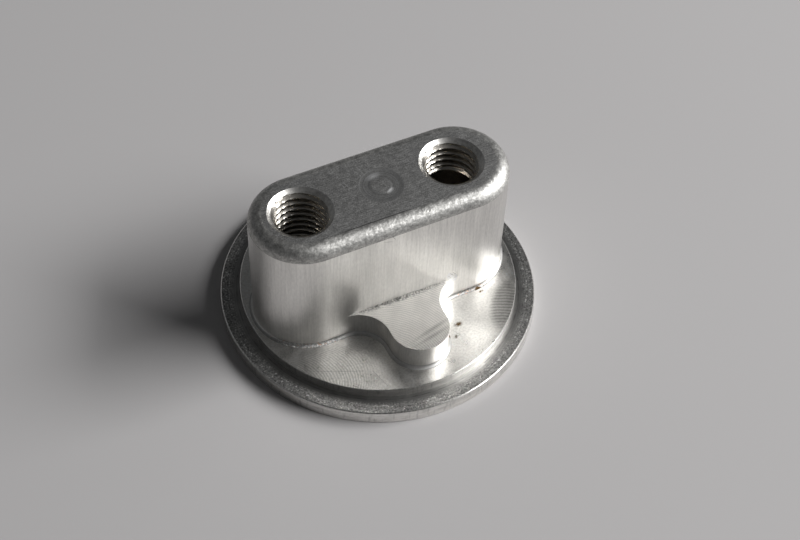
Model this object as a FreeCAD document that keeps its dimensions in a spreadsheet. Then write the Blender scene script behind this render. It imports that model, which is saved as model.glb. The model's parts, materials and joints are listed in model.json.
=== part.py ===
"""Machined aluminium flange with an obround tapped boss and a side lug.

One solid, as it comes off the mill: a round flange, a raised round pad on it, an obround boss
that stands on the pad and a low rounded lug that runs out from the boss's front wall. Two blind
holes for M8 screws open in the boss's top, either side of the shallow ring left by the turning
centre. Millimetres, +Z up, X along the boss, the lug towards -Y, origin in the middle of the
flange's bottom face. The bores are plain tap drills: their 1.25 mm threads are not cut here.
"""
import FreeCAD, Part
import math
import os
from enum import IntEnum

import Sketcher
from FreeCAD import Vector

NODE = "flanged_boss"

# alias, value in millimetres or degrees
SIZES = [
    ("flange_thickness", 2.5),
    ("flange_edge_break", 0.15),
    ("rim_width", 3.25),            # flange outside the pad
    ("pad_rise", 1.7),              # pad above the flange's rim
    ("pad_land", 0.3),              # least flat outside the foot of what stands on the pad
    ("boss_width", 17.3),
    ("boss_span", 26.0),            # between the centres of the boss's round ends
    ("boss_rise", 22.45),           # boss above the pad
    ("boss_edge_radius", 2.2),      # rounding round the boss's top
    ("lug_width", 9.5),
    ("lug_side", 1.25),             # straight part of each side of the lug
    ("lug_rise", 4.65),             # lug above the pad
    ("lug_root_radius", 5.1),       # hollow corner between the boss and each side of the lug
    ("foot_radius", 0.8),           # cutter's corner along the foot of the boss and lug
    ("hole_spacing", 25.75),
    ("hole_shift", 0.6),            # hole pair's middle, towards -X from the boss's middle
    ("tap_drill_diameter", 6.8),    # for an M8 thread
    ("bore_depth", 20.0),           # mouth to the end of the full diameter
    ("drill_point_angle", 118.0),
    ("countersink_diameter", 10.4),
    ("countersink_angle", 90.0),
    ("centre_ring_diameter", 7.2),  # shallow ring that the turning centre left
    ("centre_pip_diameter", 2.9),   # land inside that ring
    ("centre_ring_depth", 0.12),
]

# alias, what follows from the sizes above
DERIVED = [
    ("boss_radius", "=boss_width / 2"),
    ("boss_half_span", "=boss_span / 2"),
    ("boss_reach", "=boss_half_span + boss_radius"),
    ("lug_radius", "=lug_width / 2"),
    ("root_centre", "=lug_radius + lug_root_radius"),
    ("nose_centre", "=boss_radius + lug_root_radius + lug_side"),
    ("lug_reach", "=nose_centre + lug_radius"),
    ("pad_radius", "=max(boss_reach; lug_reach) + foot_radius + pad_land"),
    ("flange_radius", "=pad_radius + rim_width"),
    ("pad_top", "=flange_thickness + pad_rise"),
    ("boss_top", "=pad_top + boss_rise"),
    ("hole_left", "=hole_spacing / 2 + hole_shift"),
    ("hole_right", "=hole_spacing / 2 - hole_shift"),
    ("bore_radius", "=tap_drill_diameter / 2"),
    ("centre_ring_radius", "=centre_ring_diameter / 2"),
    ("centre_pip_radius", "=centre_pip_diameter / 2"),
]

NEAR = 1e-4                         # millimetres, for telling which edge lies where


class At(IntEnum):
    """Sketcher's numbers for the points of a line or arc."""

    START = 1
    END = 2
    CENTRE = 3


class Frame(IntEnum):
    """Sketcher's numbers for a sketch's own origin and axes."""

    ORIGIN = -1
    X_AXIS = -1
    Y_AXIS = -2


MIDDLE = (Frame.ORIGIN, At.START)   # a sketch's origin as one end of a dimension


def make_sheet(doc):
    """Write the driving dimensions and what follows from them to the document's sheet."""
    sheet = doc.addObject("Spreadsheet::Sheet", "sizes")
    for row, (alias, value) in enumerate(SIZES + DERIVED, start=1):
        sheet.set(f"A{row}", alias)
        sheet.set(f"B{row}", str(value))
        sheet.setAlias(f"B{row}", alias)
    doc.recompute()
    return sheet


def sketch_at(body, name, height=None):
    """Add a sketch on the body's XY plane, lifted to a height of the sheet."""
    plane = next(f for f in body.Origin.OriginFeatures if f.Role == "XY_Plane")
    sketch = body.newObject("Sketcher::SketchObject", name)
    sketch.AttachmentSupport = [(plane, "")]
    sketch.MapMode = "FlatFace"
    if height:
        sketch.setExpression("AttachmentOffset.Base.z", f"sizes.{height}")
    return sketch


def fix(sketch, *what):
    """Add one constraint to a sketch."""
    sketch.addConstraint(Sketcher.Constraint(*what))


def bind(sketch, kind, *where, alias, value):
    """Add one dimension to a sketch and tie it to a cell of the sheet."""
    index = sketch.addConstraint(Sketcher.Constraint(kind, *where, value))
    sketch.setExpression(f"Constraints[{index}]", f"sizes.{alias}")


def draw_circle(sketch, sheet, radius, offset=None, side=1):
    """Draw a circle on the X axis: at the origin, or at an offset towards +X or -X."""
    reach = side * sheet.get(offset) if offset else 0.0
    rim = Part.Circle(Vector(reach, 0, 0), Vector(0, 0, 1), sheet.get(radius))
    index = sketch.addGeometry(rim, False)
    bind(sketch, "Radius", index, alias=radius, value=sheet.get(radius))
    if not offset:
        fix(sketch, "Coincident", index, At.CENTRE, *MIDDLE)
        return
    fix(sketch, "PointOnObject", index, At.CENTRE, Frame.X_AXIS)
    ends = (*MIDDLE, index, At.CENTRE) if side > 0 else (index, At.CENTRE, *MIDDLE)
    bind(sketch, "DistanceX", *ends, alias=offset, value=sheet.get(offset))


def draw_obround(sketch, sheet):
    """Draw the boss's outline: two half circles joined by two straight walls."""
    span, radius = sheet.get("boss_half_span"), sheet.get("boss_radius")
    up = Vector(0, 0, 1)
    right_end = Part.Circle(Vector(span, 0, 0), up, radius)
    left_end = Part.Circle(Vector(-span, 0, 0), up, radius)
    right = sketch.addGeometry(Part.ArcOfCircle(right_end, -math.pi / 2, math.pi / 2), False)
    back = sketch.addGeometry(
        Part.LineSegment(Vector(span, radius, 0), Vector(-span, radius, 0)), False)
    left = sketch.addGeometry(Part.ArcOfCircle(left_end, math.pi / 2, 3 * math.pi / 2), False)
    front = sketch.addGeometry(
        Part.LineSegment(Vector(-span, -radius, 0), Vector(span, -radius, 0)), False)
    for one, other in ((right, back), (back, left), (left, front), (front, right)):
        fix(sketch, "Tangent", one, At.END, other, At.START)
    fix(sketch, "Symmetric", left, At.CENTRE, right, At.CENTRE, *MIDDLE)
    fix(sketch, "PointOnObject", right, At.CENTRE, Frame.X_AXIS)
    bind(sketch, "DistanceX", *MIDDLE, right, At.CENTRE, alias="boss_half_span", value=span)
    bind(sketch, "Radius", right, alias="boss_radius", value=radius)


def draw_lug(sketch, sheet):
    """Draw the lug's outline: round nose, straight sides and a hollow root each side.

    The outline closes along the boss's middle line, so the lug and the boss are one.
    """
    nose, half = sheet.get("nose_centre"), sheet.get("lug_radius")
    root, hollow = sheet.get("root_centre"), sheet.get("lug_root_radius")
    wall = sheet.get("boss_radius")
    up = Vector(0, 0, 1)

    def line(x_from, y_from, x_to, y_to):
        return sketch.addGeometry(
            Part.LineSegment(Vector(x_from, y_from, 0), Vector(x_to, y_to, 0)), False)

    def arc(x, y, radius, start, end):
        circle = Part.Circle(Vector(x, y, 0), up, radius)
        return sketch.addGeometry(Part.ArcOfCircle(circle, start, end), False)

    left_root = arc(-root, -wall - hollow, hollow, 0, math.pi / 2)
    left_side = line(-half, -wall - hollow, -half, -nose)
    round_nose = arc(0, -nose, half, math.pi, 2 * math.pi)
    right_side = line(half, -nose, half, -wall - hollow)
    right_root = arc(root, -wall - hollow, hollow, math.pi / 2, math.pi)
    right_close = line(root, -wall, root, 0)
    middle = line(root, 0, -root, 0)
    left_close = line(-root, 0, -root, -wall)

    joints = [
        ("Tangent", left_root, At.START, left_side, At.START),
        ("Tangent", left_side, At.END, round_nose, At.START),
        ("Tangent", round_nose, At.END, right_side, At.START),
        ("Tangent", right_side, At.END, right_root, At.END),
        ("Coincident", right_root, At.START, right_close, At.START),
        ("Coincident", right_close, At.END, middle, At.START),
        ("Coincident", middle, At.END, left_close, At.START),
        ("Coincident", left_close, At.END, left_root, At.END),
        ("Vertical", left_side),
        ("Vertical", right_close),
        ("Vertical", left_close),
        ("Vertical", left_root, At.CENTRE, left_root, At.END),
        ("Vertical", right_root, At.CENTRE, right_root, At.START),
        ("PointOnObject", middle, At.START, Frame.X_AXIS),
        ("PointOnObject", middle, At.END, Frame.X_AXIS),
        ("PointOnObject", round_nose, At.CENTRE, Frame.Y_AXIS),
        ("Equal", left_root, right_root),
    ]
    for joint in joints:
        fix(sketch, *joint)
    bind(sketch, "DistanceY", round_nose, At.CENTRE, *MIDDLE, alias="nose_centre", value=nose)
    bind(sketch, "Radius", round_nose, alias="lug_radius", value=half)
    bind(sketch, "Radius", left_root, alias="lug_root_radius", value=hollow)
    bind(sketch, "DistanceY", left_close, At.END, *MIDDLE, alias="boss_radius", value=wall)
    bind(sketch, "DistanceY", right_close, At.START, *MIDDLE, alias="boss_radius", value=wall)


def add_pad(body, sketch, name, length):
    """Raise a sketch by a length of the sheet."""
    pad = body.newObject("PartDesign::Pad", name)
    pad.Profile = sketch
    pad.setExpression("Length", f"sizes.{length}")
    return pad


def edges_where(shape, wanted):
    """Name the edges of a shape that a test picks, for a fillet or chamfer."""
    return [f"Edge{n}" for n, edge in enumerate(shape.Edges, start=1) if wanted(edge)]


def lies_flat_at(edge, height):
    """Tell whether an edge lies in the horizontal plane at a height."""
    box = edge.BoundBox
    return abs(box.ZMin - height) < NEAR and abs(box.ZMax - height) < NEAR


def reach_of(edge):
    """Give how far an edge's first corner is from the flange's axis."""
    point = edge.Vertexes[0].Point
    return math.hypot(point.x, point.y)


def add_dressing(body, kind, name, base, edges, size, alias):
    """Round or chamfer the named edges of the feature before."""
    dressing = body.newObject(f"PartDesign::{kind}", name)
    dressing.Base = (base, edges)
    dressing.setExpression(size, f"sizes.{alias}")
    return dressing


def round_the_edges(doc, body, sheet, lug):
    """Round the boss's top and the foot of boss and lug, and break the flange's rim edges."""
    boss_top, pad_top = sheet.get("boss_top"), sheet.get("pad_top")
    rim_reach, pad_reach = sheet.get("flange_radius"), sheet.get("pad_radius")

    top = edges_where(lug.Shape, lambda edge: lies_flat_at(edge, boss_top))
    rounded = add_dressing(body, "Fillet", "TopRounding", lug, top, "Radius", "boss_edge_radius")
    doc.recompute()

    foot = edges_where(rounded.Shape, lambda edge: lies_flat_at(edge, pad_top)
                       and abs(reach_of(edge) - pad_reach) > NEAR)
    footed = add_dressing(body, "Fillet", "FootFillet", rounded, foot, "Radius", "foot_radius")
    doc.recompute()

    rim = edges_where(footed.Shape, lambda edge: abs(reach_of(edge) - rim_reach) < NEAR
                      and abs(edge.BoundBox.ZLength) < NEAR)
    add_dressing(body, "Chamfer", "RimBreak", footed, rim, "Size", "flange_edge_break")
    doc.recompute()


def cut_centre_ring(doc, body, sheet):
    """Cut the shallow ring that the turning centre left in the boss's top."""
    sketch = sketch_at(body, "CentreRingSketch", "boss_top")
    draw_circle(sketch, sheet, "centre_ring_radius")
    draw_circle(sketch, sheet, "centre_pip_radius")
    before = body.Shape.Volume
    ring = body.newObject("PartDesign::Pocket", "CentreRing")
    ring.Profile = sketch
    ring.setExpression("Length", "sizes.centre_ring_depth")
    doc.recompute()
    expect_less(body, before, "CentreRing")


def drill_the_bores(doc, body, sheet):
    """Drill and countersink the two blind bores for the screws."""
    sketch = sketch_at(body, "BoreSketch", "boss_top")
    draw_circle(sketch, sheet, "bore_radius", "hole_left", side=-1)
    draw_circle(sketch, sheet, "bore_radius", "hole_right", side=1)
    doc.recompute()
    before = body.Shape.Volume
    bores = body.newObject("PartDesign::Hole", "TapDrillBores")
    bores.Profile = sketch
    bores.ThreadType = "None"
    bores.DepthType = "Dimension"
    bores.DrillPoint = "Angled"
    bores.HoleCutType = "Countersink"
    bores.setExpression("Diameter", "sizes.tap_drill_diameter")
    bores.setExpression("Depth", "sizes.bore_depth")
    bores.setExpression("DrillPointAngle", "sizes.drill_point_angle")
    bores.setExpression("HoleCutDiameter", "sizes.countersink_diameter")
    bores.setExpression("HoleCutCountersinkAngle", "sizes.countersink_angle")
    doc.recompute()
    expect_less(body, before, "TapDrillBores")


def expect_less(body, before, name):
    """Stop if a cut took nothing away."""
    if body.Shape.Volume >= before - NEAR:
        raise RuntimeError(f"{name} cut nothing")


def build_body(doc, sheet):
    """Build the whole part as one body, in the order it would be machined."""
    body = doc.addObject("PartDesign::Body", NODE)
    body.Label = NODE

    flange = sketch_at(body, "FlangeSketch")
    draw_circle(flange, sheet, "flange_radius")
    add_pad(body, flange, "Flange", "flange_thickness")

    pad = sketch_at(body, "PadSketch", "flange_thickness")
    draw_circle(pad, sheet, "pad_radius")
    add_pad(body, pad, "RoundPad", "pad_rise")

    boss = sketch_at(body, "BossSketch", "pad_top")
    draw_obround(boss, sheet)
    add_pad(body, boss, "Boss", "boss_rise")

    outline = sketch_at(body, "LugSketch", "pad_top")
    draw_lug(outline, sheet)
    lug = add_pad(body, outline, "Lug", "lug_rise")
    doc.recompute()

    round_the_edges(doc, body, sheet, lug)
    cut_centre_ring(doc, body, sheet)
    drill_the_bores(doc, body, sheet)
    return body


def check(doc, body):
    """Stop if any feature failed, or if the part isn't one valid solid."""
    for item in doc.Objects:
        if "Invalid" in item.State or "Error" in item.State:
            raise RuntimeError(f"{item.Name} failed: {item.State}")
    shape = body.Shape
    if shape.isNull() or not shape.isValid() or len(shape.Solids) != 1:
        raise RuntimeError(f"{body.Label} is not one valid solid")


def main():
    doc = FreeCAD.newDocument("FlangedBoss")
    sheet = make_sheet(doc)
    body = build_body(doc, sheet)
    check(doc, body)
    os.makedirs("parts", exist_ok=True)
    body.Shape.exportStep(f"parts/{body.Label}.step")
    print(f"{body.Label}: {body.Shape.Volume:.1f} mm3, {len(body.Shape.Faces)} faces")


main()
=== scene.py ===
"""Looks of a milled aluminium flange with an obround tapped boss and a side lug.

One piece stands for the whole part. Its mesh is made in millimetres, in the CAD's frame, and is
scaled to metres as it is finished. Each sub-assembly is a class that adds its own surface to the
shared mesh, and each surface wears the finish that its cutter left.
"""
import json
import logging
import math
from dataclasses import dataclass, field
from enum import IntEnum
from typing import Any, Optional

import bmesh
import bpy
from mathutils import Matrix, Vector


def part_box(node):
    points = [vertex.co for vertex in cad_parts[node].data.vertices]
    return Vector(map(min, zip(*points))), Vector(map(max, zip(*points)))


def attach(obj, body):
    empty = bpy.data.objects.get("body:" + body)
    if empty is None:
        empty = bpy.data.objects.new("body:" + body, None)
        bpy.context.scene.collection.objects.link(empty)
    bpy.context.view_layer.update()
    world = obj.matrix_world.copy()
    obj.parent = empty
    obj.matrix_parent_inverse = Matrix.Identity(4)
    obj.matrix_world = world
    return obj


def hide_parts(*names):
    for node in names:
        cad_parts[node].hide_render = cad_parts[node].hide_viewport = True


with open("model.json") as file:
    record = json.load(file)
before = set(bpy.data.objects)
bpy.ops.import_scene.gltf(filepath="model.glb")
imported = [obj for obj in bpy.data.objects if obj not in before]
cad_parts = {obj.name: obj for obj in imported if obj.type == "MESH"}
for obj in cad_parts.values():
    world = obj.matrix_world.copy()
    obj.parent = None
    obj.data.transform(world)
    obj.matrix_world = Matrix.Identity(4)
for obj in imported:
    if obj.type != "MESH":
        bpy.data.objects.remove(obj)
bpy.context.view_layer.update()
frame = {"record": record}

NODE = "flanged_boss"
MM = 0.001                          # metres in a millimetre
JOIN = 1e-4                         # millimetres, within which two points are one
UP = Vector((0, 0, 1))
BOSS_TOP = 26.65                    # heights in millimetres, from the flange's bottom
LUG_TOP = 8.85
PAD_TOP = 4.2
RIM_TOP = 2.5
BOSS_RADIUS = 8.65
WALL_Y = -BOSS_RADIUS               # where the boss's front wall stands
SEAM_GAP = 10.0                     # a jump this long in a face's run is the outline's end
SEAM_STEP = 0.3                     # how far a run goes on over its end
Ring = list[bmesh.types.BMEdge]
log = logging.getLogger(NODE)


class Skin(IntEnum):
    """Which finish a face wears. The number is the piece's material slot."""

    TOP = 0
    ROUND = 1
    WALL = 2
    PAD = 3
    LUG = 4
    RIM = 5
    SIDE = 6
    RING = 7
    THREAD = 8
    CONE = 9
    FOOT = 10
    EDGE = 11


# ---------------------------------------------------------------- drawing and joining rings


@dataclass
class Wire:
    """One outline as it is drawn, with each point's distance along it."""

    bm: bmesh.types.BMesh = field(default_factory=bmesh.new)

    def __post_init__(self) -> None:
        """Give each point a place for its distance."""
        self.run = self.bm.verts.layers.float.new("run")

    def arc(self, point: bmesh.types.BMVert, centre: tuple[float, float], turn: float,
            steps: int, radius: float) -> bmesh.types.BMVert:
        """Draw an arc by spinning a point about an upright axis.

        Args:
            point: Where the arc starts.
            centre: X and Y of the axis.
            turn: Signed angle, positive against the clock seen from above.
            steps: Number of edges.
            radius: Radius of the same arc on the walls themselves, for the run.

        Returns:
            Where the arc ends.
        """
        made = bmesh.ops.spin(self.bm, geom=[point], cent=(*centre, point.co.z), axis=UP,
                              angle=turn, steps=steps, use_duplicate=False)
        last = next(g for g in made["geom_last"] if isinstance(g, bmesh.types.BMVert))
        end = point[self.run] + radius * abs(turn)
        walked, vert, edge = 0, last, None
        while vert is not point:
            vert[self.run] = end - radius * abs(turn) * walked / steps
            edge = next(e for e in vert.link_edges if e is not edge)
            vert = edge.other_vert(vert)
            walked += 1
        return last

    def straight(self, point: bmesh.types.BMVert, x: float, y: float,
                 steps: int = 1) -> bmesh.types.BMVert:
        """Draw a straight run of edges from a point to a place at the same height.

        Args:
            point: Where the run starts.
            x: X of its end.
            y: Y of its end.
            steps: Number of edges.

        Returns:
            Where the run ends.
        """
        stride = (Vector((x, y, point.co.z)) - point.co) / steps
        for _ in range(steps):
            done = point[self.run]
            point = bmesh.ops.extrude_vert_indiv(self.bm, verts=[point])["verts"][0]
            point.co += stride
            point[self.run] = done + stride.length
        return point


@dataclass
class Block:
    """The mesh that all sub-assemblies share."""

    bm: bmesh.types.BMesh = field(default_factory=bmesh.new)
    known: set = field(default_factory=set)

    def __post_init__(self) -> None:
        """Give each point a place for its distance along its outline."""
        self.run = self.bm.verts.layers.float.new("run")

    def dress(self, skin: Skin) -> None:
        """Give each face made since the last call a finish."""
        for face in self.bm.faces:
            if face not in self.known:
                face.material_index = int(skin)
                face.smooth = True
        self.known = set(self.bm.faces)

    def take(self, wire: Wire) -> Ring:
        """Close an outline whose ends meet, and bring it in.

        Args:
            wire: The outline. It is used up.

        Returns:
            Its edges in this mesh.
        """
        bmesh.ops.remove_doubles(wire.bm, verts=wire.bm.verts, dist=JOIN)
        sheet = bpy.data.meshes.new("outline")
        wire.bm.to_mesh(sheet)
        wire.bm.free()
        before = set(self.bm.edges)
        self.bm.from_mesh(sheet)
        bpy.data.meshes.remove(sheet)
        return [e for e in self.bm.edges if e not in before]

    def circle(self, radius: float, height: float, steps: int,
               centre: tuple[float, float] = (0.0, 0.0)) -> Ring:
        """Add a level round ring.

        Args:
            radius: Its radius.
            height: Its height.
            steps: Number of edges.
            centre: X and Y of its middle.

        Returns:
            Its edges.
        """
        made = bmesh.ops.create_circle(self.bm, cap_ends=False, radius=radius, segments=steps,
                                       matrix=Matrix.Translation((*centre, height)))
        for vert in made["verts"]:
            x, y = vert.co.x - centre[0], vert.co.y - centre[1]
            vert[self.run] = math.atan2(y, x) % math.tau * radius
        return list({e for v in made["verts"] for e in v.link_edges})

    def bands(self, rings: list[Ring], skin: Skin) -> None:
        """Join each ring to the next with a band of faces that wear one finish."""
        for near, far in zip(rings, rings[1:]):
            bmesh.ops.bridge_loops(self.bm, edges=near + far)
        self.dress(skin)

    def turn(self, profile: list[tuple[float, float]], skins: list[Skin], steps: int) -> None:
        """Turn a profile about the part's upright axis.

        Args:
            profile: Radius and height of each of its points.
            skins: The finish of each band between two points.
            steps: Number of faces round each band.
        """
        for near, far, skin in zip(profile, profile[1:], skins):
            start = self.bm.verts.new((near[0], 0, near[1]))
            made = bmesh.ops.extrude_vert_indiv(self.bm, verts=[start])
            made["verts"][0].co = (far[0], 0, far[1])
            bmesh.ops.spin(self.bm, geom=[start, *made["verts"], *made["edges"]], cent=(0, 0, 0),
                           axis=UP, angle=math.tau, steps=steps, use_merge=True,
                           use_duplicate=False)
            self.dress(skin)

    def fill(self, edges: Ring, skin: Skin) -> None:
        """Fill a flat outline, less the outlines inside it."""
        bmesh.ops.triangle_fill(self.bm, edges=edges, use_beauty=True, use_dissolve=False)
        self.dress(skin)


# ---------------------------------------------------------------- the part


@dataclass
class Flange:
    """The round flange and the raised round pad on it."""

    radius: float
    thickness: float = RIM_TOP
    edge_break: float = 0.15
    pad_radius: float = 22.75
    pad_top: float = PAD_TOP
    pad_break: float = 0.08
    steps: int = 288

    def add_to(self, block: Block) -> Ring:
        """Build the flange from rings, bottom first.

        Args:
            block: The mesh to add to.

        Returns:
            The outline of the pad's top face, which is still open.
        """
        side, rim = self.edge_break, self.thickness - self.edge_break
        corner = self.pad_top - self.pad_break
        profile = [
            (0.0, 0.0), (self.radius - side, 0.0), (self.radius, side), (self.radius, rim),
            (self.radius - side, self.thickness), (self.pad_radius, self.thickness),
            (self.pad_radius, corner), (self.pad_radius - self.pad_break, self.pad_top),
        ]
        skins = [Skin.RIM, Skin.EDGE, Skin.SIDE, Skin.EDGE, Skin.RIM, Skin.SIDE, Skin.EDGE]
        block.turn(profile, skins, self.steps)
        bm = block.bm
        bmesh.ops.remove_doubles(bm, verts=bm.verts, dist=JOIN)
        for vert in bm.verts:
            vert[block.run] = math.atan2(vert.co.y, vert.co.x) % math.tau * self.radius
        return [e for e in bm.edges if len(e.link_faces) == 1]


@dataclass
class Boss:
    """The obround boss with its lug, from the foot fillet to the flat on top."""

    top: float
    foot: float = PAD_TOP
    radius: float = BOSS_RADIUS
    half_span: float = 13.0
    edge_radius: float = 2.2
    foot_radius: float = 0.55
    lug_radius: float = 4.75
    lug_root: float = 5.1
    lug_nose: float = 15.0
    lug_top: float = LUG_TOP
    end_steps: int = 72
    root_steps: int = 28
    nose_steps: int = 44
    back_steps: int = 24
    front_steps: int = 60
    side_steps: int = 8
    short_steps: int = 4
    foot_steps: int = 6
    edge_steps: int = 18
    row: float = 0.25
    rows: int = 13
    gouge_width: float = 2.2
    gouge_height: float = 2.6
    gouge_slope: float = 0.06

    @property
    def root_x(self) -> float:
        """X where the lug's hollow corner meets the boss's wall."""
        return self.lug_radius + self.lug_root

    def trace(self, block: Block, out: float, height: float, lug: bool = False) -> Ring:
        """Draw the outline of the boss, with or without its lug.

        Args:
            block: The mesh to draw in.
            out: How far outside the walls the outline runs.
            height: Its height.
            lug: Whether it goes round the lug.

        Returns:
            Its edges.
        """
        wire = Wire()
        wall, span, root = self.radius + out, self.half_span, self.root_x
        point = wire.bm.verts.new((root, -wall, height))
        point = wire.straight(point, span, -wall, self.side_steps)
        point = wire.arc(point, (span, 0), math.pi, self.end_steps, self.radius)
        point = wire.straight(point, -span, wall, self.back_steps)
        point = wire.arc(point, (-span, 0), math.pi, self.end_steps, self.radius)
        point = wire.straight(point, -root, -wall, self.side_steps)
        if lug:
            hollow, half = self.radius + self.lug_root, self.lug_radius + out
            quarter = -math.pi / 2
            point = wire.arc(point, (-root, -hollow), quarter, self.root_steps, self.lug_root)
            point = wire.straight(point, -half, -self.lug_nose, self.short_steps)
            point = wire.arc(point, (0, -self.lug_nose), math.pi, self.nose_steps, self.lug_radius)
            point = wire.straight(point, half, -hollow, self.short_steps)
            wire.arc(point, (root, -hollow), quarter, self.root_steps, self.lug_root)
        else:
            wire.straight(point, root, -wall, self.front_steps)
        return block.take(wire)

    def gouge(self, block: Block) -> None:
        """Sink the pointed nick that the mill left in the wall above the lug's right root.

        Args:
            block: The mesh to change.
        """
        for vert in block.bm.verts:
            x, y, z = vert.co
            up = (z - self.lug_top) / self.gouge_height
            left = self.root_x - self.gouge_width * (1 - up)
            if abs(y + self.radius) < JOIN and -JOIN < up < 1 and left < x < self.root_x - JOIN:
                vert.co.y += self.gouge_slope * (x - left)

    def add_to(self, block: Block) -> tuple[Ring, Ring]:
        """Build the foot, the walls, the lug's top and the rounding.

        Args:
            block: The mesh to add to.

        Returns:
            The outline of the foot and that of the flat on top, both still open.
        """
        foot = []
        for turn in (math.radians(90 * k / self.foot_steps) for k in range(self.foot_steps + 1)):
            foot.append(self.trace(block, self.foot_radius * (1 - math.sin(turn)),
                                   self.foot + self.foot_radius * (1 - math.cos(turn)), True))
        block.bands(foot, Skin.FOOT)
        shoulder = self.trace(block, 0, self.lug_top, True)
        block.bands([foot[-1], shoulder], Skin.WALL)

        walls = [self.trace(block, 0, self.lug_top + self.row * k) for k in range(self.rows)]
        rounding = []
        for turn in (math.radians(90 * k / self.edge_steps) for k in range(self.edge_steps + 1)):
            rounding.append(self.trace(block, -self.edge_radius * (1 - math.cos(turn)),
                                       self.top - self.edge_radius * (1 - math.sin(turn))))
        block.bands(walls + [rounding[0]], Skin.WALL)
        block.bands(rounding, Skin.ROUND)

        bmesh.ops.remove_doubles(block.bm, verts=block.bm.verts, dist=JOIN)
        self.gouge(block)
        block.fill([e for e in block.bm.edges if len(e.link_faces) == 1
                    and all(abs(v.co.z - self.lug_top) < JOIN for v in e.verts)], Skin.LUG)
        return foot[0], rounding[-1]


@dataclass
class TappedBore:
    """A blind bore with its countersink, its thread and its drilled end.

    The thread is drawn wider than the solid's tap drill: drill_radius is that of its crests.
    """

    centre: tuple[float, float]
    top: float
    thread_end: float
    mouth_radius: float = 5.2
    drill_radius: float = 4.0
    thread_radius: float = 4.7
    pitch: float = 1.25
    lead: float = 0.0
    full_depth: float = 20.0
    cone_depth: float = 0.62
    cone_slope: float = 1.25
    drill_point: float = 118.0
    steps: int = 120
    rows: int = 18

    def thread_at(self, angle: float, height: float) -> float:
        """Give the thread's radius: crests at the drill's radius, roots further out.

        Args:
            angle: Where round the bore.
            height: Height in the part.

        Returns:
            The radius of the surface there.
        """
        turn = (height / self.pitch - (angle - self.lead) / math.tau) % 1.0
        flank, root = 0.277, 0.0625
        rise = min(1.0, max(0.0, (abs(turn - 0.5) - root) / flank))
        fade = min(1.0, max(0.0, (height - self.thread_end) / (1.5 * self.pitch)))
        return self.drill_radius + (self.thread_radius - self.drill_radius) * (1 - rise) * fade

    def add_to(self, block: Block) -> Ring:
        """Build the bore from its mouth down.

        Args:
            block: The mesh to add to.

        Returns:
            The outline of the mouth, still open.
        """
        cone = self.mouth_radius - self.drill_radius
        bottom = self.top - self.full_depth
        tip = bottom - self.drill_radius / math.tan(math.radians(self.drill_point / 2))
        step = self.pitch / self.rows
        rows = math.ceil((self.top - self.thread_end) / step)
        heights = [self.top - step * k for k in range(1, rows + 1)] + [bottom]

        bm, middle = block.bm, Vector(self.centre)
        before = set(bm.faces)
        first = bm.verts.new((middle.x + self.mouth_radius, middle.y, self.top))
        geom, last = [first], first
        for height in heights:
            grown = bmesh.ops.extrude_vert_indiv(bm, verts=[last])
            last = grown["verts"][0]
            last.co.z = height
            geom += [last, *grown["edges"]]
        end = bmesh.ops.extrude_vert_indiv(bm, verts=[last])
        end["verts"][0].co = (*middle, tip)
        bmesh.ops.spin(bm, geom=geom + end["verts"] + end["edges"], cent=(*middle, 0), axis=UP,
                       angle=math.tau, steps=self.steps, use_merge=True, use_duplicate=False)
        block.dress(Skin.THREAD)
        for vert in {v for f in bm.faces if f not in before for v in f.verts}:
            arm = vert.co.xy - middle
            if arm.length < JOIN:
                continue
            angle, height = math.atan2(arm.y, arm.x), vert.co.z
            funnel = self.drill_radius + max(0.0, cone - self.cone_slope * (self.top - height))
            vert.co.xy = middle + arm.normalized() * max(funnel, self.thread_at(angle, height))
            vert[block.run] = angle % math.tau * self.drill_radius
        for face in bm.faces:
            if face not in before and face.calc_center_median().z > self.top - self.cone_depth:
                face.material_index = int(Skin.CONE)
        mouth = {v for f in bm.faces if f not in before for v in f.verts
                 if abs(v.co.z - self.top) < JOIN}
        return [e for v in mouth for e in v.link_edges
                if e.verts[0] is v and e.other_vert(v) in mouth]


@dataclass
class CentreMark:
    """The shallow turned ring in the middle of the boss's top, and the land inside it."""

    top: float
    radius: float = 3.6
    land_radius: float = 1.45
    depth: float = 0.05
    ramp: float = 0.35
    ridge_radius: float = 2.5
    groove_radius: float = 2.0
    groove: float = 0.004
    steps: int = 96

    def add_to(self, block: Block) -> Ring:
        """Build the ring and its land.

        Args:
            block: The mesh to add to.

        Returns:
            The ring's outer outline, still open.
        """
        low = self.top - self.depth
        half = self.top - self.depth / 2
        profile = [(self.radius, self.top), (self.radius - self.ramp / 2, half),
                   (self.radius - self.ramp, low - self.groove), (self.ridge_radius, low),
                   (self.groove_radius, low - self.groove),
                   (self.land_radius + self.ramp, low), (self.land_radius + self.ramp / 2, half),
                   (self.land_radius, self.top)]
        rings = [block.circle(r, z, self.steps) for r, z in profile]
        block.bands(rings, Skin.RING)
        bmesh.ops.contextual_create(block.bm, geom=rings[-1])
        block.dress(Skin.TOP)
        return rings[0]


# ---------------------------------------------------------------- finishes


def linear(colour: str) -> tuple[float, float, float, float]:
    """Turn an sRGB hex colour to linear light.

    Args:
        colour: Such as "#B4B2B2".

    Returns:
        Red, green, blue and an alpha of 1.
    """
    parts = [int(colour[n:n + 2], 16) / 255 for n in (1, 3, 5)]
    red, green, blue = (p / 12.92 if p <= 0.04045 else ((p + 0.055) / 1.055) ** 2.4 for p in parts)
    return red, green, blue, 1.0


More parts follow.
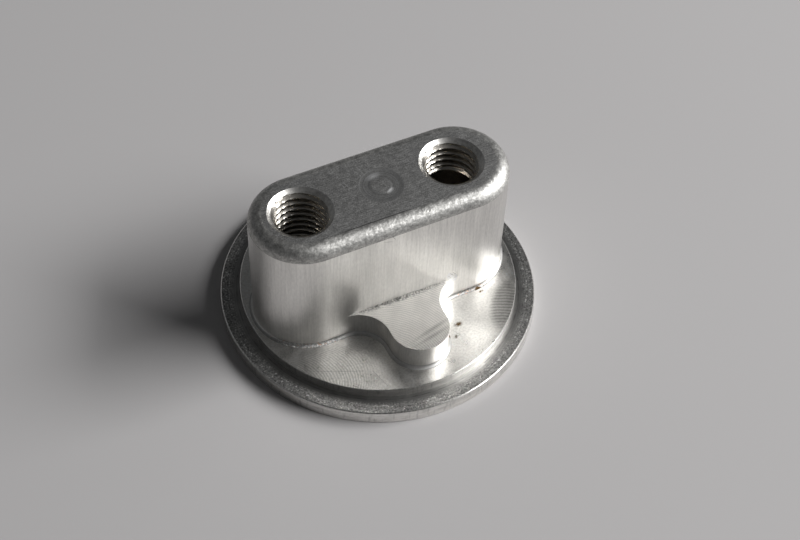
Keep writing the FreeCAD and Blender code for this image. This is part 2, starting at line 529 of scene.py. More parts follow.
def add_node(tree: bpy.types.NodeTree, kind: str, settings: Optional[dict[str, Any]] = None,
             **inputs: Any) -> bpy.types.Node:
    """Add a node with its settings, values and links.

    Args:
        tree: The node tree.
        kind: The node's type, without its "ShaderNode".
        settings: Properties of the node itself.
        **inputs: A value, or an output socket to link, for each input. Spaces in a name are
            written as _, and i0, i1 and so on are inputs by number.

    Returns:
        The node.
    """
    node = tree.nodes.new("ShaderNode" + kind)
    for name, value in (settings or {}).items():
        setattr(node, name, value)
    for name, value in inputs.items():
        number = name[1:]
        socket = node.inputs[int(number) if name[0] == "i" and number.isdigit()
                             else name.replace("_", " ")]
        if isinstance(value, bpy.types.NodeSocket):
            tree.links.new(value, socket)
        else:
            socket.default_value = value
    return node


@dataclass(frozen=True)
class Spot:
    """A long round-ended place on a surface, such as a stain, a scratch or a rubbed patch."""

    centre: tuple[float, float, float]
    reach: tuple[float, float, float]
    turn: tuple[float, float, float] = (0.0, 0.0, 0.0)
    edge: float = 1.0


class Surface:
    """Bare aluminium as its finish is put together, with all lengths in millimetres.

    Each pattern is a mask from 0 to 1, and it then changes the tone, the roughness or the relief.
    """

    def __init__(self, name: str, colour: str, roughness: float, anisotropy: float = 0.0) -> None:
        """Start from smooth metal.

        Args:
            name: The finish's name.
            colour: The metal's own colour, as sRGB hex.
            roughness: Roughness before any pattern.
            anisotropy: How far the lay spreads a highlight across itself.
        """
        self.material = bpy.data.materials.new(name)
        self.material.use_nodes = True
        self.tree = self.material.node_tree
        self.shader = self.tree.nodes["Principled BSDF"]
        self.shader.inputs["Metallic"].default_value = 1.0
        self.shader.inputs["Anisotropic"].default_value = anisotropy
        if anisotropy:
            lay = add_node(self.tree, "Tangent", {"direction_type": "UV_MAP", "uv_map": "lay"})
            self.tree.links.new(lay.outputs[0], self.shader.inputs["Tangent"])
        place = add_node(self.tree, "TexCoord").outputs["Object"]
        self.place = add_node(self.tree, "VectorMath", {"operation": "SCALE"}, i0=place,
                              Scale=1 / MM).outputs[0]
        self.along = add_node(self.tree, "UVMap", {"uv_map": "lay"}).outputs[0]
        flat = add_node(self.tree, "VectorMath", {"operation": "MULTIPLY"}, i0=self.place,
                        i1=(1, 1, 0))
        self.out = add_node(self.tree, "VectorMath", {"operation": "LENGTH"},
                            i0=flat.outputs[0]).outputs["Value"]
        self.tone: Any = linear(colour)
        self.rough: Any = roughness
        self.relief: Any = 0.0

    def contrast(self, mask: Any, low: float, high: float) -> Any:
        """Stretch the part of a mask from low to high over the whole range."""
        return add_node(self.tree, "MapRange", Value=mask, From_Min=low, From_Max=high).outputs[0]

    def grain(self, size: float, detail: float = 2.0, low: float = 0.32, high: float = 0.68,
              where: Any = None, stretch: tuple[float, float, float] = (1, 1, 1)) -> Any:
        """Give a random mottle.

        Args:
            size: Width of one grain.
            detail: Octaves of finer grain in it.
            low: The value that becomes 0.
            high: The value that becomes 1.
            where: Coordinates, the place in the part when left out.
            stretch: How much longer a grain is along each axis.

        Returns:
            The mask.
        """
        scaled = add_node(self.tree, "Mapping", Vector=self.place if where is None else where,
                          Scale=tuple(1 / (size * s) for s in stretch))
        noise = add_node(self.tree, "TexNoise", Vector=scaled.outputs[0], Scale=1.0, Detail=detail)
        return self.contrast(noise.outputs[0], low, high)

    def arcs(self, centre: tuple[float, float], turn: float, cutter: float, pitch: float,
             wander: float = 0.25) -> Any:
        """Give the marks of an end mill that is fed in a straight line.

        Args:
            centre: A point on the middle of the mill's path.
            turn: Direction of feed in degrees.
            cutter: Radius of the mill.
            pitch: Feed for each mark.
            wander: How unevenly the marks lie, in pitches.

        Returns:
            The mask.
        """
        tree = self.tree
        local = add_node(tree, "Mapping", {"vector_type": "TEXTURE"}, Vector=self.place,
                         Location=(*centre, 0), Rotation=(0, 0, math.radians(turn)))
        axes = add_node(tree, "SeparateXYZ", i0=local.outputs[0])
        across = add_node(tree, "Math", {"operation": "POWER"}, i0=axes.outputs["Y"], i1=2.0)
        left = add_node(tree, "Math", {"operation": "SUBTRACT"}, i0=cutter ** 2,
                        i1=across.outputs[0])
        bow = add_node(tree, "Math", {"operation": "SQRT"}, i0=left.outputs[0])
        front = add_node(tree, "Math", {"operation": "SUBTRACT"}, i0=axes.outputs["X"],
                         i1=bow.outputs[0])
        uneven = add_node(tree, "Math", {"operation": "MULTIPLY_ADD"},
                          i0=self.grain(1.6, 1.0, 0.0, 1.0), i1=wander * pitch * 4,
                          i2=front.outputs[0])
        phase = add_node(tree, "Math", {"operation": "MULTIPLY"}, i0=uneven.outputs[0],
                         i1=math.tau / pitch)
        wave = add_node(tree, "Math", {"operation": "SINE"}, i0=phase.outputs[0])
        return self.contrast(wave.outputs[0], -1.0, 1.0)

    def rings(self, spacing: float) -> Any:
        """Give turned rings of uneven strength about the part's upright axis."""
        noise = add_node(self.tree, "TexNoise", {"noise_dimensions": "1D"}, W=self.out,
                         Scale=1 / spacing, Detail=1.0)
        return self.contrast(noise.outputs[0], 0.35, 0.65)

    def spots(self, *places: Spot) -> Any:
        """Give a mask that is 1 in the middle of each place and fades towards its outline."""
        total: Any = None
        for spot in places:
            local = add_node(self.tree, "Mapping", {"vector_type": "TEXTURE"}, Vector=self.place,
                             Location=spot.centre, Scale=spot.reach,
                             Rotation=tuple(math.radians(a) for a in spot.turn))
            cone = add_node(self.tree, "TexGradient", {"gradient_type": "SPHERICAL"},
                            Vector=local.outputs[0])
            mask = self.contrast(cone.outputs["Fac"], 0.0, spot.edge)
            total = mask if total is None else add_node(
                self.tree, "Math", {"operation": "MAXIMUM"}, i0=total, i1=mask).outputs[0]
        return total

    def both(self, first: Any, second: Any) -> Any:
        """Give where two masks meet."""
        meet = add_node(self.tree, "Math", {"operation": "MULTIPLY"}, i0=first, i1=second)
        return meet.outputs[0]

    def shade(self, mask: Any, low: float, high: float) -> None:
        """Scale the tone by low where a mask is 0 and by high where it is 1."""
        factor = add_node(self.tree, "MapRange", Value=mask, To_Min=low, To_Max=high)
        self.tone = add_node(self.tree, "VectorMath", {"operation": "SCALE"}, i0=self.tone[:3]
                             if isinstance(self.tone, tuple) else self.tone,
                             Scale=factor.outputs[0]).outputs[0]

    def tint(self, mask: Any, colour: str) -> None:
        """Change the tone to a colour where a mask is 1."""
        self.tone = add_node(self.tree, "Mix", {"data_type": "RGBA"}, i0=mask, i6=self.tone,
                             i7=linear(colour)).outputs[2]

    def roughen(self, mask: Any, amount: float) -> None:
        """Add to the roughness where a mask is 1."""
        self.rough = add_node(self.tree, "Math", {"operation": "MULTIPLY_ADD", "use_clamp": True},
                              i0=mask, i1=amount, i2=self.rough).outputs[0]

    def carve(self, mask: Any, height: float) -> None:
        """Raise the surface by a height, or sink it, where a mask is 1."""
        self.relief = add_node(self.tree, "Math", {"operation": "MULTIPLY_ADD"}, i0=mask, i1=height,
                               i2=self.relief).outputs[0]

    def finish(self) -> bpy.types.Material:
        """Join the tone, the roughness and the relief to the shader.

        Returns:
            The material.
        """
        for value, name in ((self.tone, "Base Color"), (self.rough, "Roughness")):
            if isinstance(value, bpy.types.NodeSocket):
                self.tree.links.new(value, self.shader.inputs[name])
            else:
                self.shader.inputs[name].default_value = value
        if isinstance(self.relief, bpy.types.NodeSocket):
            bump = add_node(self.tree, "Bump", Strength=1.0, Distance=MM, Height=self.relief)
            self.tree.links.new(bump.outputs[0], self.shader.inputs["Normal"])
        return self.material


# Bare aluminium. Under soft light it is a pale, faintly warm silver. Tumbling turns it grey, and a
# surface with a film of oxide is darker still; on the foot fillet that darker grey is painted
# shade.
BARE = "#ECEAE6"
GREY = "#CECDCB"
OXIDE_AND_FOOT_SHADE = "#C2C1BF"


@dataclass(frozen=True)
class TumbledTop:
    """Face-milled, then tumbled with ceramic stones: an even dark grey grain with a few scratches.

    The stones leave dents of 0.05 to 0.3 mm, and the finest are drawn at 0.24 mm so that they show.
    """

    roughness: float = 0.42
    dent: float = 0.24

    def make(self) -> bpy.types.Material:
        """Build the material."""
        surface = Surface("tumbled_top", GREY, self.roughness)
        surface.shade(surface.grain(5.0, 1.0), 0.92, 1.05)
        fine = surface.grain(self.dent, 2.0)
        surface.shade(fine, 0.7, 1.28)
        surface.carve(fine, 0.005)
        streaks = surface.grain(0.2, 1.0, stretch=(6, 1, 1))
        surface.shade(streaks, 0.8, 1.2)
        surface.roughen(surface.grain(0.8, 2.0), 0.04)
        flecks = surface.grain(0.16, 0.0, 0.7, 0.8)
        surface.shade(flecks, 1.0, 1.5)
        scratches = surface.spots(
            Spot((-6.2, 5.7, BOSS_TOP), (1.0, 0.07, 1), (0, 0, -63), 0.5),
            Spot((-5.6, 5.3, BOSS_TOP), (0.8, 0.05, 1), (0, 0, -58), 0.5),
            Spot((-7.1, 4.9, BOSS_TOP), (0.7, 0.05, 1), (0, 0, -70), 0.5),
            Spot((-4.9, 2.3, BOSS_TOP), (0.08, 1.2, 1), (0, 0, 12), 0.5),
            Spot((-5.4, 2.2, BOSS_TOP), (0.06, 1.0, 1), (0, 0, 12), 0.5),
            Spot((5.6, 3.2, BOSS_TOP), (1.2, 0.04, 1), (0, 0, 20), 0.5),
        )
        surface.shade(scratches, 1.0, 1.5)
        line = surface.spots(Spot((-4.0, -6.38, BOSS_TOP), (8.2, 0.16, 1), (0, 0, 0), 0.4))
        surface.shade(line, 1.0, 0.35)
        surface.carve(line, -0.01)
        return surface.finish()


@dataclass(frozen=True)
class TumbledRounding:
    """The rounded top corner: form-milled, then tumbled until its dents glint in a row.

    The dents are 0.1 to 0.4 mm, drawn at 0.24 and 0.45 mm so that they show.
    """

    roughness: float = 0.47
    dent: float = 0.45

    def make(self) -> bpy.types.Material:
        """Build the material."""
        # The colour is darker than the top's: painted shade over the rounding.
        surface = Surface("tumbled_rounding", "#B9B8B5", self.roughness)
        coarse = surface.grain(self.dent, 2.0, stretch=(1.4, 1.4, 1.0))
        surface.shade(coarse, 0.74, 1.16)
        surface.carve(coarse, 0.02)
        fine = surface.grain(0.24, 1.0)
        surface.shade(fine, 0.8, 1.18)
        surface.carve(fine, 0.004)
        surface.roughen(surface.grain(1.0, 1.0), 0.1)
        # Painted highlight: the rounding's right end is painted brighter.
        painted_light_patch = surface.spots(Spot((17.6, -6.6, 25.4), (6.0, 4.0, 2.4), (0, 0, 25), 0.8))
        surface.shade(painted_light_patch, 1.0, 1.5)
        nick = surface.spots(Spot((-2.5, -8.4, 26.1), (0.5, 0.35, 0.35), (0, 0, 10), 0.6))
        surface.shade(nick, 1.0, 1.35)
        surface.carve(nick, -0.03)
        return surface.finish()


@dataclass(frozen=True)
class MilledWall:
    """Side-milled wall: fine upright marks, 0.1 to 0.3 mm apart, that spread light sideways.

    The marks are drawn no finer than 0.25 mm so that they show.
    """

    roughness: float = 0.34
    anisotropy: float = 0.5

    def make(self) -> bpy.types.Material:
        """Build the material."""
        surface = Surface("side_milled_wall", BARE, self.roughness, self.anisotropy)
        broad = surface.grain(2.6, 1.0, where=surface.along, stretch=(1, 12, 1))
        surface.shade(broad, 0.93, 1.05)
        marks = surface.grain(0.3, 2.0, where=surface.along, stretch=(1, 22, 1))
        surface.shade(marks, 0.92, 1.06)
        surface.carve(marks, 0.0035)
        fleck = surface.grain(0.28, 1.0, where=surface.along, stretch=(1, 3, 1))
        surface.shade(fleck, 0.95, 1.04)
        # Painted shade: darker beside the lug's left root, and a tall darker band near the left
        # end; both patches are also rougher, as rubbed.
        painted_light_patch = surface.spots(
            Spot((-8.2, WALL_Y, 10.6), (1.5, 1, 3.2), (0, 12, 0), 1.0),
            Spot((-13.2, WALL_Y, 14.5), (1.2, 1, 11.0), (0, 4, 0), 1.0),
        )
        surface.shade(painted_light_patch, 1.0, 0.93)
        surface.roughen(painted_light_patch, 0.06)
        lines = surface.spots(
            Spot((8.9, WALL_Y, 10.0), (0.07, 1, 0.9), (0, -38, 0), 0.5),
            Spot((9.35, WALL_Y, 10.1), (0.07, 1, 0.8), (0, -38, 0), 0.5),
            Spot((8.5, WALL_Y, 9.6), (0.06, 1, 0.7), (0, -38, 0), 0.5),
            Spot((-1.9, WALL_Y, 24.3), (0.08, 1, 0.9), (0, -28, 0), 0.5),
            Spot((-2.8, WALL_Y, 23.7), (0.06, 1, 1.0), (0, -70, 0), 0.5),
        )
        surface.shade(lines, 1.0, 0.55)
        # The torn patch in the nick is rougher, and its colour is a painted highlight, brighter.
        torn = surface.spots(Spot((9.0, WALL_Y, 9.4), (1.1, 1, 1.9), (0, -32, 0), 0.4))
        surface.roughen(torn, 0.3)
        surface.shade(torn, 1.0, 1.35)
        # Painted shade: a broken dark line along the wall's corner with the lug's top.
        painted_corner_shade = surface.both(surface.spots(
            Spot((-0.6, WALL_Y, LUG_TOP), (9.6, 1, 0.42), (0, 0, 0), 0.35)),
            surface.grain(0.3, 1.0, 0.4, 0.6))
        surface.shade(painted_corner_shade, 1.0, 0.3)
        return surface.finish()


@dataclass(frozen=True)
class MilledPad:
    """Floor-milled pad: a blurred mirror with the end mill's feed marks, 0.33 mm apart.

    The marks are drawn 0.45 mm apart so that they show.
    """

    roughness: float = 0.27
    pitch: float = 0.45
    cutter: float = 7.0

    def make(self) -> bpy.types.Material:
        """Build the material."""
        surface = Surface("floor_milled_pad", BARE, self.roughness)
        surface.shade(surface.grain(3.0, 2.0), 0.96, 1.08)
        surface.roughen(surface.grain(1.5, 2.0), 0.08)
        front = surface.arcs((-15.0, -15.0), 0, self.cutter, self.pitch)
        area = surface.spots(Spot((-15.0, -14.0, PAD_TOP), (9.0, 7.5, 2), (0, 0, -40), 0.5))
        fed = surface.both(front, area)
        surface.carve(fed, 0.004)
        surface.shade(fed, 1.1, 0.8)
        right = surface.arcs((17.0, -13.0), 62, 14.0, 0.6, 0.1)
        # Painted reflection: the wedge right of the lug is painted darker, as the pad's dark
        # reflection there.
        wedge = surface.spots(Spot((16.3, -13.6, PAD_TOP), (2.4, 5.6, 2), (0, 0, -38), 0.35))
        surface.shade(wedge, 1.0, 0.72)
        lined = surface.both(right, wedge)
        surface.carve(lined, 0.003)
        surface.shade(lined, 1.0, 0.6)
        # Painted shade: the pad's right side is painted darker where the lamp's reflection falls;
        # it is also rougher there.
        rougher_painted_shade = surface.spots(Spot((13.5, -12.5, PAD_TOP), (8.0, 6.0, 2), (0, 0, 0), 0.5))
        surface.shade(rougher_painted_shade, 1.0, 0.66)
        surface.roughen(rougher_painted_shade, 0.16)
        matt = surface.grain(0.32, 2.0)
        surface.shade(matt, 0.86, 1.1)
        surface.carve(matt, 0.0025)
        border = surface.spots(
            Spot((-14.0, -14.6, PAD_TOP), (5.6, 0.12, 2), (0, 0, -24), 0.4),
            Spot((-8.5, -18.6, PAD_TOP), (2.4, 0.12, 2), (0, 0, -76), 0.4),
        )
        surface.shade(border, 1.0, 0.8)
        stains = surface.spots(
            Spot((7.6, -14.2, PAD_TOP), (0.95, 0.6, 1), (0, 0, 8), 0.7),
            Spot((6.1, -16.3, PAD_TOP), (0.5, 0.3, 1), (0, 0, 60), 0.7),
            Spot((14.1, -9.7, PAD_TOP), (0.6, 0.3, 1), (0, 0, 10), 0.7),
        )
        surface.tint(surface.both(stains, surface.grain(0.35, 2.0, 0.3, 0.5)), "#5A4628")
        return surface.finish()


@dataclass(frozen=True)
class MilledLug:
    """Milled top of the lug: bright, with fine arcs and two soft bands across them.

    The arcs are about 0.25 mm apart, drawn 0.42 mm apart so that they show.
    """

    roughness: float = 0.26
    pitch: float = 0.42
    cutter: float = 11.0

    def make(self) -> bpy.types.Material:
        """Build the material."""
        surface = Surface("milled_lug", BARE, self.roughness)
        surface.shade(surface.grain(2.0, 2.0), 0.95, 1.04)
        marks = surface.arcs((0.0, -14.0), 35, self.cutter, self.pitch)
        surface.carve(marks, 0.003)
        surface.shade(marks, 0.84, 1.08)
        bands = surface.spots(
            Spot((1.6, -16.4, LUG_TOP), (4.6, 0.5, 1), (0, 0, 14), 0.9),
            Spot((0.9, -17.7, LUG_TOP), (4.2, 0.45, 1), (0, 0, 12), 0.9),
        )
        surface.shade(bands, 1.0, 0.62)
        # Painted shade: a broken dark line on the lug's top along its corner with the wall; it only
        # darkens.
        painted_corner_shade = surface.spots(Spot((-0.6, -8.75, LUG_TOP), (9.3, 0.75, 1), (0, 0, 0), 0.6))
        rough = surface.both(painted_corner_shade, surface.grain(0.35, 2.0, 0.4, 0.6))
        surface.shade(rough, 1.0, 0.35)
        return surface.finish()


@dataclass(frozen=True)
class TurnedRim:
    """Turned rim, tumbled: dark grey and grainy outside, with fine rings along the pad.

    The dents are 0.05 to 0.3 mm, and the finest are drawn at 0.26 mm so that they show.
    """

    roughness: float = 0.34
    dent: float = 0.3

    def make(self) -> bpy.types.Material:
        """Build the material."""
        surface = Surface("turned_rim", OXIDE_AND_FOOT_SHADE, self.roughness)
        surface.shade(surface.grain(2.2, 2.0), 0.85, 1.1)
        outer = surface.contrast(surface.out, 23.7, 24.6)
        dents = surface.grain(self.dent, 2.0)
        tumbled = surface.both(dents, outer)
        surface.shade(outer, 1.0, 0.56)
        surface.shade(tumbled, 0.72, 1.9)
        surface.carve(tumbled, 0.016)
        surface.roughen(outer, 0.08)
        rings = surface.rings(0.25)
        surface.shade(rings, 0.86, 1.1)
        surface.carve(rings, 0.003)
        surface.shade(surface.both(outer, surface.grain(0.26, 0.0, 0.66, 0.76)), 1.0, 2.2)
        line = surface.both(surface.contrast(surface.out, 23.22, 23.3),
                            surface.contrast(surface.out, 23.42, 23.34))
        surface.shade(surface.both(line, surface.grain(1.2, 2.0, 0.45, 0.6)), 1.0, 0.6)
        nick = surface.spots(Spot((-22.0, -13.4, RIM_TOP), (0.35, 0.25, 1), (0, 0, 30), 0.5))
        surface.shade(nick, 1.0, 2.0)
        return surface.finish()


@dataclass(frozen=True)
class TurnedSide:
    """Turned step and outer side: bright, with fine rings and slanted handling marks."""

    roughness: float = 0.3

    def make(self) -> bpy.types.Material:
        """Build the material."""
        surface = Surface("turned_side", BARE, self.roughness)
        surface.shade(surface.grain(1.5, 2.0, stretch=(1, 1, 0.4)), 0.86, 1.06)
        rings = surface.grain(0.2, 1.0, where=surface.along, stretch=(20, 1, 1))
        surface.shade(rings, 0.9, 1.05)
        surface.carve(rings, 0.003)
        marks = surface.grain(0.45, 1.0, 0.56, 0.72, where=surface.along, stretch=(1, 6, 1))
        surface.shade(marks, 1.0, 0.8)
        return surface.finish()


@dataclass(frozen=True)
class TurnedRing:
    """Turned centre ring: fine rings between the top's grain and a mirror, with painted highlights
    for its sheen.
    """

    roughness: float = 0.36

    def make(self) -> bpy.types.Material:
        """Build the material."""
        surface = Surface("turned_centre_ring", GREY, self.roughness)
        fine = surface.grain(0.17, 2.0)
        surface.shade(fine, 0.95, 1.4)
        surface.carve(fine, 0.005)
        rings = surface.rings(0.35)
        surface.shade(rings, 0.95, 1.25)
        surface.carve(rings, 0.006)
        # Painted highlights: two bright patches on the ring, front right and back, which are also a
        # little rougher.
        painted_glint = surface.spots(
            Spot((0.9, -1.6, 26.6), (1.0, 0.4, 1), (0, 0, 28), 0.6),
            Spot((-0.3, 2.2, 26.6), (1.6, 0.8, 1), (0, 0, 10), 1.0))
        surface.shade(painted_glint, 1.0, 1.7)
        surface.roughen(painted_glint, 0.12)
        return surface.finish()


@dataclass(frozen=True)
class CutThread:
    """Tap-cut thread: brighter on its crests, with a brown film of dried cutting oil."""

    # Darker than bare metal: painted shade inside the bores.
    colour: str = "#CDC8C0"
    roughness: float = 0.27

    def make(self) -> bpy.types.Material:
        """Build the material."""
        surface = Surface("tapped_thread", self.colour, self.roughness)
        surface.shade(surface.grain(0.8, 2.0), 0.85, 1.08)
        torn = surface.grain(0.3, 2.0)
        surface.shade(torn, 0.9, 1.08)
        surface.carve(torn, 0.005)
        film = surface.both(surface.grain(1.6, 2.0, 0.5, 0.7), surface.spots(
            Spot((-17.6, -0.2, 24.6), (2.6, 3.4, 3.4), (0, 0, 0), 0.5),
            Spot((8.2, -1.2, 24.6), (1.6, 2.6, 3.0), (0, 0, 0), 0.5)))
        surface.tint(film, "#C9BDAE")
        specks = surface.both(surface.grain(0.3, 1.0, 0.6, 0.66), surface.spots(
            Spot((-16.5, -2.2, 24.4), (1.0, 1.0, 1.4), (0, 0, 0), 0.3)))
        surface.tint(specks, "#2E2418")
        return surface.finish()


@dataclass(frozen=True)
class Countersink:
    """Countersunk mouth: bright, with the tool's fine rings and a little chatter."""

    roughness: float = 0.36

    def make(self) -> bpy.types.Material:
        """Build the material."""
        surface = Surface("countersunk_mouth", BARE, self.roughness)
        surface.shade(surface.grain(0.5, 2.0), 0.7, 1.02)
        rings = surface.grain(0.16, 1.0, stretch=(12, 12, 1))
        surface.shade(rings, 0.92, 1.04)
        surface.carve(rings, 0.002)
        return surface.finish()


@dataclass(frozen=True)
class ChatteredFoot:
    """Foot fillet: a narrow strip that the mill's corner tore, painted dark as shade in the corner,
    with pits painted darker and pinkish glints painted bright.
    """

    roughness: float = 0.45
    pit: float = 0.3

    def make(self) -> bpy.types.Material:
        """Build the material."""
        # Its darker grey is painted shade in the corner at the wall's foot.
        surface = Surface("chattered_foot", OXIDE_AND_FOOT_SHADE, self.roughness)
        torn = surface.spots(
            Spot((-15.6, -8.0, 4.6), (7.5, 4.2, 2.0), (0, 0, -30), 0.35),
            Spot((13.0, -9.0, 4.6), (4.5, 1.6, 2.0), (0, 0, 0), 0.5))
        # The pits are painted dark, as shade in them.
        pits = surface.both(torn, surface.grain(self.pit, 2.0, 0.42, 0.56))
        surface.carve(pits, -0.03)
        surface.shade(pits, 1.0, 0.4)
        # Painted highlights: bright, pinkish glints among the pits.
        painted_glints = surface.both(torn, surface.grain(0.3, 1.0, 0.56, 0.64))
        surface.shade(painted_glints, 1.0, 2.2)
        surface.tint(surface.both(painted_glints, surface.grain(0.6, 0.0, 0.45, 0.55)), "#D9B9A4")
        surface.shade(surface.grain(0.5, 2.0), 0.9, 1.06)
        stains = surface.spots(Spot((5.5, -15.9, 4.4), (0.6, 0.6, 1), (0, 0, 0), 0.3),
                               Spot((13.9, -9.2, 4.4), (0.7, 0.6, 1), (0, 0, 0), 0.3))
        surface.tint(stains, "#4E3C22")
        return surface.finish()


@dataclass(frozen=True)
class BrokenEdge:
    """Edge broken by hand with a file and then tumbled: a thin bright line with small nicks."""

    roughness: float = 0.3

    def make(self) -> bpy.types.Material:
        """Build the material."""
        surface = Surface("broken_edge", BARE, self.roughness)
        nicks = surface.grain(0.4, 2.0, 0.35, 0.65)
        surface.shade(nicks, 0.7, 1.05)
        surface.carve(nicks, 0.01)
        return surface.finish()


def finishes() -> dict[Skin, bpy.types.Material]:
    """Make the material of each finish."""
    return {
        Skin.TOP: TumbledTop().make(),
        Skin.ROUND: TumbledRounding().make(),
        Skin.WALL: MilledWall().make(),
        Skin.PAD: MilledPad().make(),
        Skin.LUG: MilledLug().make(),
        Skin.RIM: TurnedRim().make(),
        Skin.SIDE: TurnedSide().make(),
        Skin.RING: TurnedRing().make(),
        Skin.THREAD: CutThread().make(),
        Skin.CONE: Countersink().make(),
        Skin.FOOT: ChatteredFoot().make(),
        Skin.EDGE: BrokenEdge().make(),
    }


# ---------------------------------------------------------------- the piece


@dataclass
class MachinedPart:
    """The whole part as one closed piece."""

    radius: float
    top: float
    bores: list[TappedBore]

    def lay_out(self, block: Block) -> None:
        """Write the map whose U runs along each outline, in millimetres."""
        bm = block.bm
        layer = bm.loops.layers.uv.new("lay")
        for face in bm.faces:
            level = abs(face.normal.z) > 0.99
            runs = [loop.vert[block.run] for loop in face.loops]
            high = max(runs)
            for loop, run in zip(face.loops, runs):
                point = loop.vert.co
                if level:
                    loop[layer].uv = (point.x, point.y)
                    continue
                if high - run > SEAM_GAP:
                    run = high + SEAM_STEP
                loop[layer].uv = (run, point.z)

    def build(self) -> bpy.types.Object:
        """Build the mesh and the object.

        Returns:
            The piece, at the origin and in metres.
        """
        block = Block()
        flange = Flange(self.radius)
        pad_edge = flange.add_to(block)
        boss = Boss(self.top)
        foot, flat = boss.add_to(block)
        block.fill(pad_edge + foot, Skin.PAD)
        mouths = [edge for bore in self.bores for edge in bore.add_to(block)]
        ring = CentreMark(self.top).add_to(block)
        block.fill(flat + mouths + ring, Skin.TOP)

        bm = block.bm
        bmesh.ops.remove_doubles(bm, verts=bm.verts, dist=JOIN)
        bmesh.ops.triangulate(bm, faces=[f for f in bm.faces if len(f.verts) > 4])
        bmesh.ops.recalc_face_normals(bm, faces=bm.faces)
        for edge in bm.edges:
            edge.smooth = len(edge.link_faces) == 2 and edge.calc_face_angle(0) < math.radians(24)
        self.lay_out(block)
        open_edges = sum(not e.is_manifold for e in bm.edges)
        bmesh.ops.scale(bm, vec=(MM, MM, MM), verts=bm.verts)
        mesh = bpy.data.meshes.new("machined_boss")
        bm.to_mesh(mesh)
        bm.free()
        piece = bpy.data.objects.new("machined_boss", mesh)
        bpy.context.scene.collection.objects.link(piece)
        piece.modifiers.new("even_flats", "WEIGHTED_NORMAL").keep_sharp = True
        log.info("machined_boss: %d faces, %d open edges", len(mesh.polygons), open_edges)
        return piece


# ---------------------------------------------------------------- the studio


@dataclass(frozen=True)
class Lamp:
    """A soft rectangular lamp that points at the part."""

    name: str
    azimuth: float
    elevation: float
    distance: float
    width: float
    height: float
    level: float

    def hang(self, aim: Vector) -> None:
        """Add the lamp.

        Args:
            aim: The point that it faces.
        """
        turn, lift = math.radians(self.azimuth), math.radians(self.elevation)
        back = Vector((math.cos(turn) * math.cos(lift), math.sin(turn) * math.cos(lift),
                       math.sin(lift)))
        data = bpy.data.lights.new(self.name, "AREA")
        data.shape, data.size, data.size_y = "RECTANGLE", self.width, self.height
        data.energy = self.level * math.pi * self.width * self.height
        lamp = bpy.data.objects.new(self.name, data)
        lamp.location = aim + back * self.distance
        lamp.rotation_euler = back.to_track_quat("Z", "Y").to_euler()
        lamp.visible_camera = False
        bpy.context.scene.collection.objects.link(lamp)


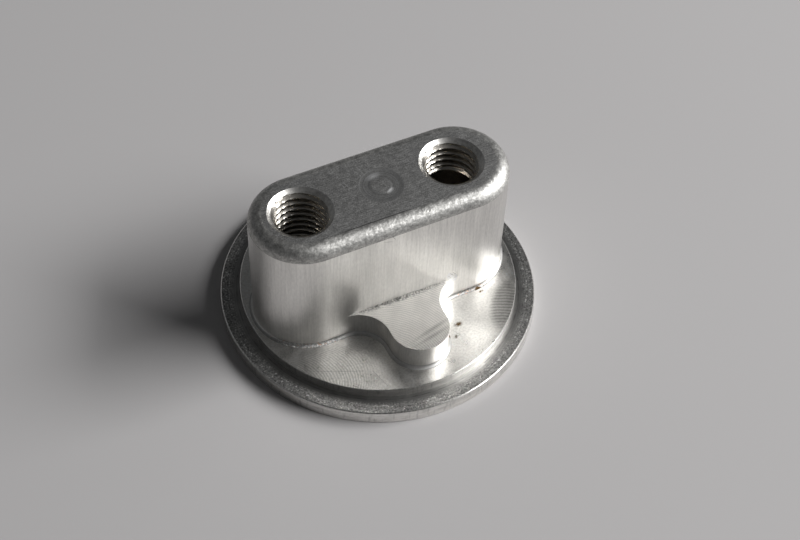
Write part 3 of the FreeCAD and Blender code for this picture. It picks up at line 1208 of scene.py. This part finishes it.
@dataclass
class Studio:
    """A sheet of paper, one soft lamp from the right, and a room that is dim overhead."""

    lens: float = 70.24
    azimuth: float = -27.97
    elevation: float = 50.4
    roll: float = 2.61
    distance: float = 250.9 * MM
    aim: Vector = field(default_factory=lambda: Vector((1.56, -4.62, 10.4)) * MM)

    def add_camera(self) -> None:
        """Add the camera and make it the scene's."""
        turn, lift, roll = (math.radians(a) for a in (self.azimuth, self.elevation, self.roll))
        back = Vector((math.sin(turn) * math.cos(lift), -math.cos(turn) * math.cos(lift),
                       math.sin(lift)))
        right = UP.cross(back).normalized()
        upward = back.cross(right)
        level = right * math.cos(roll) + upward * math.sin(roll)
        upright = upward * math.cos(roll) - right * math.sin(roll)
        data = bpy.data.cameras.new("camera")
        data.lens, data.sensor_width = self.lens, 36
        data.clip_start, data.clip_end = 0.01, 50
        camera = bpy.data.objects.new("camera", data)
        place = Matrix((level, upright, back)).transposed().to_4x4()
        place.translation = self.aim + back * self.distance
        camera.matrix_world = place
        bpy.context.scene.collection.objects.link(camera)
        bpy.context.scene.camera = camera

    def add_room(self) -> None:
        """Add a world that is pale at the horizon and dim overhead."""
        world = bpy.data.worlds.new("room")
        bpy.context.scene.world = world
        world.use_nodes = True
        tree = world.node_tree
        where = add_node(tree, "TexCoord")
        axes = add_node(tree, "SeparateXYZ", i0=where.outputs["Generated"])
        ramp = add_node(tree, "ValToRGB", i0=axes.outputs["Z"])
        stops = ramp.color_ramp.elements
        stops[0].position, stops[0].color = 0.05, (0.13, 0.134, 0.138, 1)
        stops[1].position, stops[1].color = 0.6, (0.045, 0.046, 0.047, 1)
        tree.links.new(ramp.outputs[0], tree.nodes["Background"].inputs[0])

    def add_floor(self) -> bpy.types.Object:
        """Lay the paper that the part stands on.

        Returns:
            The floor.
        """
        bm = bmesh.new()
        bmesh.ops.create_grid(bm, x_segments=1, y_segments=1, size=3.0)
        mesh = bpy.data.meshes.new("paper")
        bm.to_mesh(mesh)
        bm.free()
        floor = bpy.data.objects.new("paper", mesh)
        bpy.context.scene.collection.objects.link(floor)
        material = bpy.data.materials.new("matt_paper")
        material.use_nodes = True
        shader = material.node_tree.nodes["Principled BSDF"]
        shader.inputs["Base Color"].default_value = linear("#B7B5B5")
        shader.inputs["Roughness"].default_value = 0.9
        mesh.materials.append(material)
        return floor

    def set_up(self) -> None:
        """Build the whole studio."""
        self.add_camera()
        self.add_room()
        self.add_floor()
        middle = Vector((0, 0, 0.01))
        Lamp("window", -24, 35, 1.5, 1.15, 0.58, 16.2).hang(middle)
        bpy.context.scene.view_settings.view_transform = "Standard"


def find_bores(top: float) -> list[TappedBore]:
    """Place the two bores by the record's mounts.

    Args:
        top: Height of the boss's top in millimetres.

    Returns:
        The left and the right bore.
    """
    places = {m["name"]: m for m in frame["record"]["mounts"]}
    ends = {"left_thread": top - 17.0, "right_thread": top - 6.9}
    bores = []
    for name, end in ends.items():
        x, y = (v / MM for v in places[name]["pos_m"][:2])
        bores.append(TappedBore((x, y), top, end))
    return bores


def main() -> None:
    """Build the part, dress it and set up the studio."""
    logging.basicConfig(level=logging.INFO, format="%(name)s: %(message)s")
    low, high = (Vector(corner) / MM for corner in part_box(NODE))
    piece = MachinedPart((high.x - low.x) / 2, high.z, find_bores(high.z)).build()
    for skin, material in sorted(finishes().items()):
        piece.data.materials.append(material)
        log.info("finish %d: %s", skin, material.name)
    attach(piece, "root")
    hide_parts(NODE)
    Studio().set_up()


if __name__ == "__main__":
    main()
